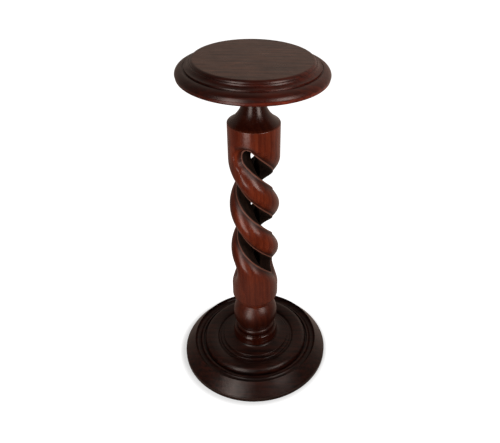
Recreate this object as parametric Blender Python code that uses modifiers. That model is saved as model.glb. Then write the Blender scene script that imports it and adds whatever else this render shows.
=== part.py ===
"""A plant stand in polished mahogany: a moulded round top, an open double barley-twist
column and a moulded round base. Lengths are in metres, +Z is up, and the origin is the
middle of the underside of the base."""

import math

import bmesh
import bpy

# Fit between pieces
SEAT_GAP = 0.0003

# Top: mouldings from the rim inwards and from the face downwards
TOP_RADIUS = 0.1430
TOP_OVOLO_WIDTH = 0.0150
TOP_OVOLO_HEIGHT = 0.0125
TOP_QUIRK_WIDTH = 0.0022
TOP_QUIRK_DEPTH = 0.0012
TOP_FILLET_HEIGHT = 0.0028
TOP_COVE_WIDTH = 0.0085
TOP_COVE_HEIGHT = 0.0062
TOP_STEP_WIDTH = 0.0025
TOP_BEAD_WIDTH = 0.0058
TOP_BEAD_HEIGHT = 0.0055
TOP_EDGE_HEIGHT = 0.0070
TOP_EDGE_SETBACK = 0.0010
TOP_EDGE_ROUND = 0.0030

# Base: mouldings from the rim inwards, with heights above the floor
BASE_RADIUS = 0.1750
BASE_TOE_WIDTH = 0.0012
BASE_TOE_HEIGHT = 0.0104
BASE_TOE_SQUARE = 0.0085
BASE_BEVEL_WIDTH = 0.0236
BASE_BEVEL_FOOT = 0.0116
BASE_BEVEL_TOP = 0.0404
BASE_COVE_WIDTH = 0.0160
BASE_COVE_FLOOR = 0.0300
BASE_RING_WIDTH = 0.0042
BASE_RING_TOP = 0.0368
BASE_QUIRK_WIDTH = 0.0045
BASE_QUIRK_FLOOR = 0.0312
BASE_TORUS_WIDTH = 0.0340
BASE_TORUS_TOP = 0.0496
BASE_TORUS_ROUND = 0.0130
BASE_CHANNEL_WIDTH = 0.0044
BASE_CHANNEL_FLOOR = 0.0415
BASE_FILLET_WIDTH = 0.0080
BASE_FILLET_TOP = 0.0447
BASE_FILLET_ROUND = 0.0020
BASE_BOSS_TOP = 0.0495
BASE_BOSS_ROUND = 0.0010
BASE_SEAT_HEIGHT = 0.0570
BASE_SEAT_MARGIN = 0.0012

# Column: stages from the foot upwards
FOOT_RADIUS = 0.0535
FOOT_OVOLO_WIDTH = 0.0053
FOOT_SQUARE_HEIGHT = 0.0035
FOOT_OVOLO_HEIGHT = 0.0177
FOOT_FILLET_HEIGHT = 0.0025
COLLAR_CREASE_RADIUS = 0.0430
COLLAR_RADIUS = 0.0452
COLLAR_HEIGHT = 0.0125
BALL_RADIUS = 0.0520
BALL_SEAT_RADIUS = 0.0400
THROAT_RADIUS = 0.0370
THROAT_HEIGHT = 0.0130
DRUM_RADIUS = 0.0525
DRUM_UNDERCUT = 0.0058
DRUM_ROUND = 0.0080
LOWER_DRUM_HEIGHT = 0.0657
TWIST_HEIGHT = 0.3325
UPPER_DRUM_HEIGHT = 0.0448
LIP_ROUND = 0.0014
LIP_WIDTH = 0.0020
SHOULDER_HEIGHT = 0.0485
SHOULDER_PULL = 0.0213
NECK_RADIUS = 0.0220
NECK_HEIGHT = 0.0140
CAPITAL_RADIUS = 0.0380
CAPITAL_STEP = 0.0020
CAPITAL_HEIGHT = 0.0217
CAPITAL_FILLET_HEIGHT = 0.0065

# Twist: left-handed slots, carved through to a hollow middle
SLOTS = 2
TWIST_PITCH = 0.2290
TWIST_TOP_AZIMUTH = math.radians(250.0)
SLOT_OPENING = 0.0420
ARRIS_RADIUS = 0.0386
STRAND_ROUND = 0.0245
STRAND_FULLNESS = 1.5
HOLLOW_RADIUS = 0.0140
HOLLOW_END_INSET = 0.0060

# Fineness of the faceted solids
BOARD_STEPS = 36
TURNING_STEPS = 28
CARVING_STEPS = 96
CARVING_SHARE = 0.055
CURVE_STEPS = 4
FINE_CURVE_STEPS = 3
BALL_STEPS = 7
SLOT_END_STEPS = 6
SLOT_BEND_STEP = math.radians(15.0)
HOLLOW_STEPS = 12
SHARP_ANGLE = math.radians(35.0)

# Working values for the cutters and for pieces that are joined into one
JOINT_OVERLAP = 0.0010
CUTTER_MARGIN = 0.0050

# Heights of the column's stages above the floor
FOOT_BASE = BASE_SEAT_HEIGHT + SEAT_GAP
COLLAR_BASE = FOOT_BASE + FOOT_SQUARE_HEIGHT + FOOT_OVOLO_HEIGHT + FOOT_FILLET_HEIGHT
BALL_BASE = COLLAR_BASE + COLLAR_HEIGHT
BALL_MIDDLE = BALL_BASE + math.sqrt(BALL_RADIUS**2 - BALL_SEAT_RADIUS**2)
THROAT_BASE = BALL_MIDDLE + math.sqrt(BALL_RADIUS**2 - THROAT_RADIUS**2)
SHAFT_BASE = THROAT_BASE + THROAT_HEIGHT
DRUM_BASE = SHAFT_BASE + DRUM_UNDERCUT
TWIST_BASE = DRUM_BASE + LOWER_DRUM_HEIGHT
TWIST_TOP = TWIST_BASE + TWIST_HEIGHT
LIP_HEIGHT = TWIST_TOP + UPPER_DRUM_HEIGHT
NECK_BASE = LIP_HEIGHT + SHOULDER_HEIGHT
CAPITAL_BASE = NECK_BASE + NECK_HEIGHT
COLUMN_TOP = CAPITAL_BASE + CAPITAL_HEIGHT + CAPITAL_FILLET_HEIGHT
TOP_UNDERSIDE = COLUMN_TOP + SEAT_GAP

# The slots on the drum's surface, unrolled flat
HELIX_ANGLE = math.atan2(TWIST_PITCH, 2 * math.pi * DRUM_RADIUS)
SLOT_HALF_WIDTH = SLOT_OPENING / 2 * math.cos(HELIX_ANGLE)
SLOT_TOP = TWIST_TOP - SLOT_HALF_WIDTH
SLOT_LENGTH = (TWIST_HEIGHT - 2 * SLOT_HALF_WIDTH) / math.sin(HELIX_ANGLE)
SLOT_SPACING = 2 * math.pi / SLOTS
SLOT_WRAPS = math.ceil(SLOTS * TWIST_HEIGHT / TWIST_PITCH) + 1

MAHOGANY_TOP = ("top_mahogany", (0.115, 0.052, 0.034), 0.34)
MAHOGANY_COLUMN = ("column_mahogany", (0.150, 0.040, 0.020), 0.26)
MAHOGANY_BASE = ("base_mahogany", (0.060, 0.026, 0.018), 0.36)


# Scene and materials


def clear_scene():
    for obj in list(bpy.data.objects):
        bpy.data.objects.remove(obj)


def new_collection(name):
    collection = bpy.data.collections.new(name)
    bpy.context.scene.collection.children.link(collection)
    return collection


def polished_wood(name, colour, roughness):
    material = bpy.data.materials.new(name)
    material.use_nodes = True
    shader = material.node_tree.nodes["Principled BSDF"]
    shader.inputs["Base Color"].default_value = (*colour, 1.0)
    shader.inputs["Roughness"].default_value = roughness
    shader.inputs["Metallic"].default_value = 0.0
    return material


# Curves for outlines, which are lists of (radius, height) that run from the top down


def level_first(start, end, steps=CURVE_STEPS):
    """A quarter of an ellipse that leaves its start level and reaches its end upright."""
    turns = [math.pi / 2 * step / steps for step in range(steps + 1)]
    reach, drop = end[0] - start[0], start[1] - end[1]
    return [(start[0] + reach * math.sin(turn), end[1] + drop * math.cos(turn)) for turn in turns]


def upright_first(start, end, steps=CURVE_STEPS):
    """A quarter of an ellipse that leaves its start upright and reaches its end level."""
    turns = [math.pi / 2 * step / steps for step in range(steps + 1)]
    reach, drop = end[0] - start[0], start[1] - end[1]
    return [(end[0] - reach * math.cos(turn), start[1] - drop * math.sin(turn)) for turn in turns]


def drawn_curve(start, pull, end, steps):
    """A smooth curve from start to end, drawn towards the point pull."""
    curve = []
    for step in range(steps + 1):
        t = step / steps
        shares = ((1 - t) ** 2, 2 * t * (1 - t), t**2)
        curve.append(tuple(sum(s * p[k] for s, p in zip(shares, (start, pull, end))) for k in (0, 1)))
    return curve


def ball_curve(middle, radius, top_radius, bottom_radius, steps):
    """The side of a ball, from where it is top_radius wide down to where it is bottom_radius wide."""
    first = math.acos(top_radius / radius)
    last = -math.acos(bottom_radius / radius)
    turns = [first + (last - first) * step / steps for step in range(steps + 1)]
    return [(radius * math.cos(turn), middle + radius * math.sin(turn)) for turn in turns]


# Outlines of the pieces


def top_outline():
    ovolo_start = TOP_RADIUS - TOP_OVOLO_WIDTH
    arris = ovolo_start - TOP_QUIRK_WIDTH
    step = arris - TOP_COVE_WIDTH
    bead = step - TOP_STEP_WIDTH
    face_edge = bead - TOP_BEAD_WIDTH

    edge_height = TOP_UNDERSIDE + TOP_EDGE_HEIGHT
    ovolo_height = edge_height + TOP_OVOLO_HEIGHT
    arris_height = ovolo_height + TOP_FILLET_HEIGHT
    step_height = arris_height + TOP_COVE_HEIGHT
    face_height = step_height + TOP_BEAD_HEIGHT
    edge = TOP_RADIUS - TOP_EDGE_SETBACK
    return [
        *level_first((face_edge, face_height), (bead, step_height), FINE_CURVE_STEPS),
        *upright_first((step, step_height), (arris, arris_height), FINE_CURVE_STEPS),
        (arris, ovolo_height - TOP_QUIRK_DEPTH),
        (ovolo_start, ovolo_height - TOP_QUIRK_DEPTH),
        *level_first((ovolo_start, ovolo_height), (TOP_RADIUS, edge_height)),
        (edge, edge_height),
        *upright_first((edge, TOP_UNDERSIDE + TOP_EDGE_ROUND), (edge - TOP_EDGE_ROUND, TOP_UNDERSIDE), 2),
    ]


def base_outline():
    bevel_foot = BASE_RADIUS - BASE_TOE_WIDTH
    bevel_edge = bevel_foot - BASE_BEVEL_WIDTH
    ring_outer = bevel_edge - BASE_COVE_WIDTH
    ring_inner = ring_outer - BASE_RING_WIDTH
    torus_outer = ring_inner - BASE_QUIRK_WIDTH
    torus_inner = torus_outer - BASE_TORUS_WIDTH
    fillet_outer = torus_inner - BASE_CHANNEL_WIDTH
    boss = fillet_outer - BASE_FILLET_WIDTH
    seat = FOOT_RADIUS + BASE_SEAT_MARGIN

    cove_floor = ((ring_outer + bevel_edge) / 2, BASE_COVE_FLOOR)
    crown = (torus_outer - BASE_TORUS_ROUND, BASE_TORUS_TOP)
    return [
        *upright_first((seat, BASE_SEAT_HEIGHT), (boss - BASE_BOSS_ROUND, BASE_BOSS_TOP)),
        (boss, BASE_BOSS_TOP - BASE_BOSS_ROUND),
        (boss, BASE_FILLET_TOP),
        (fillet_outer - BASE_FILLET_ROUND, BASE_FILLET_TOP),
        (fillet_outer, BASE_FILLET_TOP - BASE_FILLET_ROUND),
        (fillet_outer, BASE_CHANNEL_FLOOR),
        *upright_first((torus_inner, BASE_CHANNEL_FLOOR), crown),
        *level_first(crown, (torus_outer, BASE_TORUS_TOP - BASE_TORUS_ROUND))[1:],
        (torus_outer, BASE_QUIRK_FLOOR),
        (ring_inner, BASE_QUIRK_FLOOR),
        (ring_inner, BASE_RING_TOP),
        *upright_first((ring_outer, BASE_RING_TOP), cove_floor, FINE_CURVE_STEPS),
        *level_first(cove_floor, (bevel_edge, BASE_BEVEL_TOP), FINE_CURVE_STEPS)[1:],
        (bevel_foot, BASE_BEVEL_FOOT),
        *level_first((bevel_foot, BASE_TOE_HEIGHT), (BASE_RADIUS, BASE_TOE_SQUARE), FINE_CURVE_STEPS),
        (BASE_RADIUS, 0.0),
    ]


def neck_outline():
    """The column above its upper drum, with a short stub that sinks into the drum."""
    fillet = COLUMN_TOP - CAPITAL_FILLET_HEIGHT
    shoulder_foot = DRUM_RADIUS - LIP_WIDTH
    return [
        (CAPITAL_RADIUS, COLUMN_TOP),
        (CAPITAL_RADIUS, fillet),
        *level_first((CAPITAL_RADIUS - CAPITAL_STEP, fillet), (NECK_RADIUS, CAPITAL_BASE)),
        *drawn_curve(
            (NECK_RADIUS, NECK_BASE),
            (NECK_RADIUS, LIP_HEIGHT + SHOULDER_PULL),
            (shoulder_foot, LIP_HEIGHT),
            2 * CURVE_STEPS,
        ),
        (shoulder_foot, LIP_HEIGHT - JOINT_OVERLAP),
    ]


def foot_outline():
    """The column below its lower drum, with a short stub that rises into the drum."""
    ovolo_top = COLLAR_BASE - FOOT_FILLET_HEIGHT
    fillet = FOOT_RADIUS - FOOT_OVOLO_WIDTH
    collar_middle = COLLAR_BASE + COLLAR_HEIGHT / 2
    return [
        (THROAT_RADIUS, SHAFT_BASE + JOINT_OVERLAP),
        *ball_curve(BALL_MIDDLE, BALL_RADIUS, THROAT_RADIUS, BALL_SEAT_RADIUS, BALL_STEPS),
        *level_first((BALL_SEAT_RADIUS, BALL_BASE), (COLLAR_RADIUS, collar_middle), FINE_CURVE_STEPS)[1:],
        *upright_first(
            (COLLAR_RADIUS, collar_middle), (COLLAR_CREASE_RADIUS, COLLAR_BASE), FINE_CURVE_STEPS
        )[1:],
        (fillet, COLLAR_BASE),
        *level_first((fillet, ovolo_top), (FOOT_RADIUS, FOOT_BASE + FOOT_SQUARE_HEIGHT)),
        (FOOT_RADIUS, FOOT_BASE),
    ]


def shaft_outline():
    """The drums and the blank between them, with rows close enough to carry the carving."""
    row_step = TWIST_PITCH / CARVING_STEPS
    first = TWIST_TOP + STRAND_ROUND
    rows = math.ceil((first - TWIST_BASE + STRAND_ROUND) / row_step)
    return [
        (DRUM_RADIUS - LIP_ROUND, LIP_HEIGHT),
        (DRUM_RADIUS, LIP_HEIGHT - LIP_ROUND),
        *[(DRUM_RADIUS, first - row * row_step) for row in range(rows + 1)],
        *upright_first((DRUM_RADIUS, DRUM_BASE + DRUM_ROUND), (DRUM_RADIUS - DRUM_ROUND, DRUM_BASE)),
        (THROAT_RADIUS - JOINT_OVERLAP, SHAFT_BASE),
    ]


# Shaping


def apply_modifiers(obj):
    graph = bpy.context.evaluated_depsgraph_get()
    mesh = bpy.data.meshes.new_from_object(obj.evaluated_get(graph))
    obj.modifiers.clear()
    obj.data = mesh
    mesh.name = obj.name


def turned(name, outline, steps, collection):
    """A solid turned about the Z axis."""
    points = [(0.0, outline[0][1]), *outline, (0.0, outline[-1][1])]
    mesh = bpy.data.meshes.new(name)
    edges = [(index, index + 1) for index in range(len(points) - 1)]
    mesh.from_pydata([(radius, 0.0, height) for radius, height in points], edges, [])
    obj = bpy.data.objects.new(name, mesh)
    collection.objects.link(obj)
    screw = obj.modifiers.new("Turn", "SCREW")
    screw.steps = steps
    screw.render_steps = steps
    screw.use_merge_vertices = True
    screw.merge_threshold = 0.00001
    apply_modifiers(obj)
    return obj


def finish(obj, wood):
    obj.data.materials.clear()
    obj.data.materials.append(polished_wood(*wood))
    obj.data.shade_smooth()
    obj.data.set_sharp_from_angle(angle=SHARP_ANGLE)


def boolean(obj, operation, other):
    modifier = obj.modifiers.new(other.name, "BOOLEAN")
    modifier.operation = operation
    modifier.solver = "EXACT"
    modifier.object = other


# The twist


def strand_radius(azimuth, height):
    """The carved surface, full on a strand's crest and rounded over towards the slots."""
    drop = SLOT_TOP - height
    lead = (azimuth - TWIST_TOP_AZIMUTH) % SLOT_SPACING
    radius = DRUM_RADIUS
    for wrap in range(-1, SLOT_WRAPS):
        way = DRUM_RADIUS * (lead + wrap * SLOT_SPACING)
        along = way * math.cos(HELIX_ANGLE) + drop * math.sin(HELIX_ANGLE)
        across = drop * math.cos(HELIX_ANGLE) - way * math.sin(HELIX_ANGLE)
        beyond = along - min(max(along, 0.0), SLOT_LENGTH)
        from_arris = math.hypot(beyond, across) - SLOT_HALF_WIDTH
        share = max(1 - from_arris / STRAND_ROUND, 0.0)
        radius = min(radius, DRUM_RADIUS - (DRUM_RADIUS - ARRIS_RADIUS) * share**STRAND_FULLNESS)
    return radius


def round_strands(shaft):
    for vertex in shaft.data.vertices:
        x, y, height = vertex.co
        if math.hypot(x, y) < DRUM_RADIUS - DRUM_ROUND:
            continue
        share = strand_radius(math.atan2(y, x), height) / DRUM_RADIUS
        vertex.co = (x * share, y * share, height)


def slot_cutter(number, collection):
    """A bar with round ends, laid along one slot and wrapped about the column."""
    bm = bmesh.new()
    half_step = math.pi / 2 / SLOT_END_STEPS
    bmesh.ops.create_circle(
        bm, cap_ends=True, segments=2 * SLOT_END_STEPS, radius=SLOT_HALF_WIDTH / math.cos(half_step)
    )
    level = math.pi / 2 - half_step if SLOT_END_STEPS % 2 else 0.0
    for vertex in bm.verts:
        spin = math.atan2(vertex.co.y, vertex.co.x) + level
        length = vertex.co.length
        vertex.co = (length * math.cos(spin), length * math.sin(spin), 0.0)
        if vertex.co.x > 0:
            vertex.co.x += SLOT_LENGTH
    bar = bmesh.ops.extrude_face_region(bm, geom=bm.faces[:])
    bmesh.ops.translate(bm, vec=(0, 0, 1), verts=[v for v in bar["geom"] if isinstance(v, bmesh.types.BMVert)])

    bend_length = DRUM_RADIUS * SLOT_BEND_STEP / math.cos(HELIX_ANGLE)
    for bend in range(int(SLOT_LENGTH / bend_length) + 1):
        bmesh.ops.bisect_plane(
            bm,
            geom=bm.verts[:] + bm.edges[:] + bm.faces[:],
            plane_co=(bend * bend_length, 0, 0),
            plane_no=(1, 0, 0),
        )
    inner = HOLLOW_RADIUS / 2
    outer = DRUM_RADIUS + CUTTER_MARGIN
    start = TWIST_TOP_AZIMUTH + number * SLOT_SPACING
    for vertex in bm.verts:
        along, across, share = vertex.co
        way = along * math.cos(HELIX_ANGLE) - across * math.sin(HELIX_ANGLE)
        drop = along * math.sin(HELIX_ANGLE) + across * math.cos(HELIX_ANGLE)
        azimuth = start + way / DRUM_RADIUS
        radius = inner + (outer - inner) * share
        vertex.co = (radius * math.cos(azimuth), radius * math.sin(azimuth), SLOT_TOP - drop)
    bmesh.ops.triangulate(bm, faces=bm.faces[:])
    bmesh.ops.recalc_face_normals(bm, faces=bm.faces[:])
    return cutter_object(f"slot_{number + 1}", bm, collection)


def hollow_cutter(collection):
    bm = bmesh.new()
    depth = TWIST_HEIGHT - 2 * HOLLOW_END_INSET
    bmesh.ops.create_cone(
        bm, cap_ends=True, segments=HOLLOW_STEPS, radius1=HOLLOW_RADIUS, radius2=HOLLOW_RADIUS, depth=depth
    )
    bmesh.ops.translate(bm, vec=(0, 0, (TWIST_TOP + TWIST_BASE) / 2), verts=bm.verts[:])
    return cutter_object("hollow", bm, collection)


def cutter_object(name, bm, collection):
    mesh = bpy.data.meshes.new(name)
    bm.to_mesh(mesh)
    bm.free()
    obj = bpy.data.objects.new(name, mesh)
    collection.objects.link(obj)
    return obj


def as_helper(obj):
    obj.hide_render = True
    obj.display_type = "WIRE"


def make_column(parts, helpers):
    """The shaft is carved, then the turned neck and foot are joined to it."""
    column = turned("column", shaft_outline(), CARVING_STEPS, parts)
    round_strands(column)
    thin = column.modifiers.new("Fewer faces", "DECIMATE")
    thin.ratio = CARVING_SHARE
    apply_modifiers(column)

    cutters = [slot_cutter(number, helpers) for number in range(SLOTS)] + [hollow_cutter(helpers)]
    for cutter in cutters:
        as_helper(cutter)
        boolean(column, "DIFFERENCE", cutter)
    ends = (
        turned("neck_blank", neck_outline(), TURNING_STEPS, helpers),
        turned("foot_blank", foot_outline(), TURNING_STEPS, helpers),
    )
    for end in ends:
        as_helper(end)
        boolean(column, "UNION", end)
    apply_modifiers(column)
    finish(column, MAHOGANY_COLUMN)


def main():
    clear_scene()
    parts = new_collection("plant_stand")
    helpers = new_collection("cutters")
    helpers.hide_render = True
    finish(turned("base", base_outline(), BOARD_STEPS, parts), MAHOGANY_BASE)
    make_column(parts, helpers)
    finish(turned("top", top_outline(), BOARD_STEPS, parts), MAHOGANY_TOP)


main()
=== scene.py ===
"""The looks of a plant stand in polished mahogany: a moulded round top, an open double
barley-twist column and a moulded round base. Each piece is turned by spinning its outline,
the column's strands are then carved, and all three get a stained and polished finish.
Lengths are in metres, +Z is up, and the origin is the middle of the base's underside."""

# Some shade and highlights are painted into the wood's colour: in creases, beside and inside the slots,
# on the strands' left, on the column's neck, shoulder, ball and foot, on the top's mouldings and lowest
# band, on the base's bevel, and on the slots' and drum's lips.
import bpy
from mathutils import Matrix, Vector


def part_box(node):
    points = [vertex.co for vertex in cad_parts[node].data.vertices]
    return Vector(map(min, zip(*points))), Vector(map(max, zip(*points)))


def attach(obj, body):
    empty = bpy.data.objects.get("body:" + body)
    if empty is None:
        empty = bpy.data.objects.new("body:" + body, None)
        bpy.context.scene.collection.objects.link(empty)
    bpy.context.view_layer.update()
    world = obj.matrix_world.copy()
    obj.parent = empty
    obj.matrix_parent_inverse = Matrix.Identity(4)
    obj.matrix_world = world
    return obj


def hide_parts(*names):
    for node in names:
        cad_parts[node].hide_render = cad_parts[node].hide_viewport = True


bl_info = {
    "name": "Barley Twist Plant Stand",
    "version": (1, 0, 0),
    "blender": (4, 5, 0),
    "location": "3D View > Sidebar > Plant Stand",
    "description": "Models and polishes a turned plant stand with an open twisted column",
    "category": "Add Mesh",
}

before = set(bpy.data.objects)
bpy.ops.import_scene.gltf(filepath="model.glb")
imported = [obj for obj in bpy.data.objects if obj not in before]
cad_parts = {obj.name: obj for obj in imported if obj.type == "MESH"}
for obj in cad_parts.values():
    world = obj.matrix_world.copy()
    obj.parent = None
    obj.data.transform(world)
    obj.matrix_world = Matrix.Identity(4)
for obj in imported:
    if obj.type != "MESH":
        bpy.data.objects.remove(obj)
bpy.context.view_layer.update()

import math

import bmesh
import bpy
from bpy.props import FloatProperty, FloatVectorProperty, IntProperty, PointerProperty
from bpy.types import Operator, Panel, PropertyGroup
from mathutils import Matrix, Vector

BODY = "root"
TOP_LOW, TOP_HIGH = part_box("top")
_, BASE_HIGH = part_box("base")
COLUMN_LOW, COLUMN_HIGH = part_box("column")

MERGE_DISTANCE = 0.00001
SAME_PLACE = 0.00005
SHARP_ANGLE = math.radians(40.0)
EASE_ANGLE = math.radians(25.0)
EASE_STEPS = 3
LONG_STRETCH = 6
SPARE_ROWS = 2
WAVE_PERIOD = math.pi / 10


# Properties


def kind_of(make, **options):
    """A short way to make one kind of property from its name, description and default."""

    def made(name, description, default):
        return make(name=name, description=description, default=default, **options)

    return made


def angle(name, description, degrees):
    return kind_of(FloatProperty, unit="ROTATION")(name, description, math.radians(degrees))


length = kind_of(FloatProperty, min=0.0, precision=5, unit="LENGTH")
signed_length = kind_of(FloatProperty, precision=5, unit="LENGTH")
share = kind_of(FloatProperty, min=0.0, max=1.0, subtype="FACTOR")
strength = kind_of(FloatProperty, min=0.0)
count = kind_of(IntProperty, min=2)
colour = kind_of(FloatVectorProperty, size=3, min=0.0, max=1.0, subtype="COLOR")


class TopSizes(PropertyGroup):
    """Mouldings of the top, from the rim inwards and from the face downwards"""

    radius: length("Radius", "From the middle to the rim", TOP_HIGH.x)
    ovolo_width: length("Ovolo width", "The rounded lower moulding, measured level", 0.0150)
    ovolo_height: length("Ovolo height", "The rounded lower moulding, measured upright", 0.0125)
    quirk_width: length("Quirk width", "The narrow sunk line inside the ovolo", 0.0022)
    quirk_depth: length("Quirk depth", "How far that line is sunk", 0.0012)
    fillet_height: length("Fillet height", "The upright step above the sunk line", 0.0028)
    cove_width: length("Cove width", "The hollow moulding, measured level", 0.0085)
    cove_height: length("Cove height", "The hollow moulding, measured upright", 0.0062)
    step_width: length("Step width", "The flat between the cove and the bead", 0.0025)
    bead_width: length("Bead width", "The rounded edge of the face, measured level", 0.0058)
    edge_height: length("Edge height", "The band under the ovolo", 0.0070)
    edge_setback: length("Edge setback", "How far the band stands back from the rim", 0.0010)
    edge_round: length("Edge round", "The rounding under the band", 0.0030)


class BaseSizes(PropertyGroup):
    """Mouldings of the base, from the rim inwards, with heights above the floor"""

    radius: length("Radius", "From the middle to the rim", BASE_HIGH.x)
    toe_width: length("Toe width", "The small rounding under the bevel, measured level", 0.0012)
    toe_height: length("Toe height", "The top of the upright rim", 0.0104)
    toe_square: length("Toe square", "Where the rim's rounding starts", 0.0085)
    bevel_width: length("Bevel width", "The broad sloping border, measured level", 0.0236)
    bevel_foot: length("Bevel foot", "Height of the bevel's outer edge", 0.0116)
    bevel_top: length("Bevel top", "Height of the bevel's inner edge", 0.0404)
    cove_width: length("Cove width", "The hollow inside the bevel", 0.0160)
    cove_floor: length("Cove floor", "Height of the hollow's lowest line", 0.0300)
    ring_width: length("Ring width", "The thin raised ring", 0.0042)
    ring_top: length("Ring top", "Height of the thin ring", 0.0368)
    quirk_width: length("Quirk width", "The sunk line beside the torus", 0.0045)
    quirk_floor: length("Quirk floor", "Height of the sunk line", 0.0312)
    torus_width: length("Torus width", "The broad rounded ring", 0.0340)
    torus_top: length("Torus top", "Height of the broad ring's crown", 0.0496)
    torus_round: length("Torus round", "The rounding of the ring's outer side", 0.0130)
    channel_width: length("Channel width", "The sunk line inside the torus", 0.0044)
    channel_floor: length("Channel floor", "Height of that sunk line", 0.0415)
    fillet_width: length("Fillet width", "The flat step round the boss", 0.0080)
    fillet_top: length("Fillet top", "Height of the flat step", 0.0447)
    fillet_round: length("Fillet round", "The rounding of the step's outer edge", 0.0020)
    boss_top: length("Boss top", "Height of the boss's outer edge", 0.0495)
    boss_round: length("Boss round", "The rounding of the boss's outer edge", 0.0010)
    seat_radius: length("Seat radius", "The flat that the column stands on", 0.0547)


class ColumnSizes(PropertyGroup):
    """Stages of the column from the foot upwards"""

    foot_radius: length("Foot radius", "The column's lowest moulding", 0.0535)
    foot_ovolo_width: length("Foot ovolo width", "The foot's rounding, measured level", 0.0053)
    foot_square_height: length("Foot square", "The upright band at the floor of the foot", 0.0035)
    foot_ovolo_height: length("Foot ovolo height", "The foot's rounding, measured upright", 0.0177)
    foot_fillet_height: length("Foot fillet", "The upright step above the rounding", 0.0025)
    crease_radius: length("Crease radius", "The collar where it meets the foot", 0.0430)
    collar_radius: length("Collar radius", "The small ring under the ball", 0.0452)
    collar_height: length("Collar height", "The height of the small ring", 0.0125)
    ball_radius: length("Ball radius", "The ball above the foot", 0.0520)
    ball_seat_radius: length("Ball seat radius", "The ball where it meets the collar", 0.0400)
    throat_radius: length("Throat radius", "The narrow part above the ball", 0.0370)
    throat_height: length("Throat height", "The narrow part above the ball", 0.0130)
    drum_radius: length("Drum radius", "The two drums and the strands' crests", 0.0525)
    drum_undercut: length("Drum undercut", "How far the lower drum's underside slopes", 0.0058)
    drum_round: length("Drum round", "The rounding of the lower drum's foot", 0.0080)
    lower_drum_height: length("Lower drum", "From the drum's foot to the twist", 0.0657)
    twist_height: length("Twist height", "From the slots' lowest to their highest point", 0.3325)
    upper_drum_height: length("Upper drum", "From the twist to the lip", 0.0448)
    lip_round: length("Lip round", "The rounding of the upper drum's edge", 0.0014)
    lip_width: length("Lip width", "The lip's ledge under the shoulder", 0.0020)
    shoulder_height: length("Shoulder height", "From the lip to the neck", 0.0485)
    shoulder_pull: length("Shoulder pull", "How high the shoulder's curve is drawn", 0.0213)
    neck_radius: length("Neck radius", "The narrow part under the capital", 0.0220)
    neck_height: length("Neck height", "The narrow part under the capital", 0.0140)
    capital_radius: length("Capital radius", "The moulding that carries the top", 0.0380)
    capital_step: length("Capital step", "The ledge under the capital's band", 0.0020)
    capital_band: length("Capital band", "The band that meets the top", 0.0065)


class TwistSizes(PropertyGroup):
    """The two left-handed slots that open the column, and the strands between them"""

    slots: count("Slots", "How many slots there are, with as many strands", 2)
    pitch: length("Pitch", "The height of one whole turn", 0.2290)
    top_azimuth: angle("Top azimuth", "Where the first slot starts", 250.0)
    opening: length("Opening", "A slot's height, measured upright", 0.0420)
    arris_radius: length("Arris radius", "The slots' edges, from the column's axis", 0.0386)
    arris_round: length("Arris round", "How far each slot's edge is eased", 0.0009)
    lip_width: length("Lip width", "The flat lip round each slot", 0.0026)
    strand_round: length("Strand round", "How far a strand rounds over towards a slot", 0.0292)
    fullness: strength("Fullness", "How full the rounding is", 2.0)
    start_round: length("Start round", "How far the drum rounds over towards a slot's start", 0.0115)
    start_fullness: strength("Start fullness", "How full the rounding is at a slot's start", 1.15)
    widening: length("Widening", "How far along a slot the rounding grows to its full width", 0.0300)
    hollow_radius: length("Hollow radius", "The open middle where the slots meet", 0.0115)
    run_out: length("Run-out", "Height in which the grid of faces comes level again", 0.0320)
    corner: angle("Corner", "How far each end's faces reach round the slot's end", 50.0)
    slot_columns: count("Slot columns", "Columns of faces across a slot's end", 18)
    strand_columns: count("Strand columns", "Columns of faces across a strand", 34)
    rows: count("Rows", "Rows of faces along a slot", 140)
    end_rows: count("End rows", "Rows of faces beyond a slot's end", 24)
    wall_steps: count("Wall steps", "Rows of faces from a slot's edge to the hollow", 6)


class Fineness(PropertyGroup):
    """How finely the pieces are turned"""

    board_steps: count("Board steps", "Steps round the top and the base", 224)
    curve_steps: count("Curve steps", "Steps along each moulding's curve", 10)
    ball_steps: count("Ball steps", "Steps down the ball and the shoulder", 24)
    ease: length("Ease", "The rounding of every sharp turned edge", 0.0005)


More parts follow.
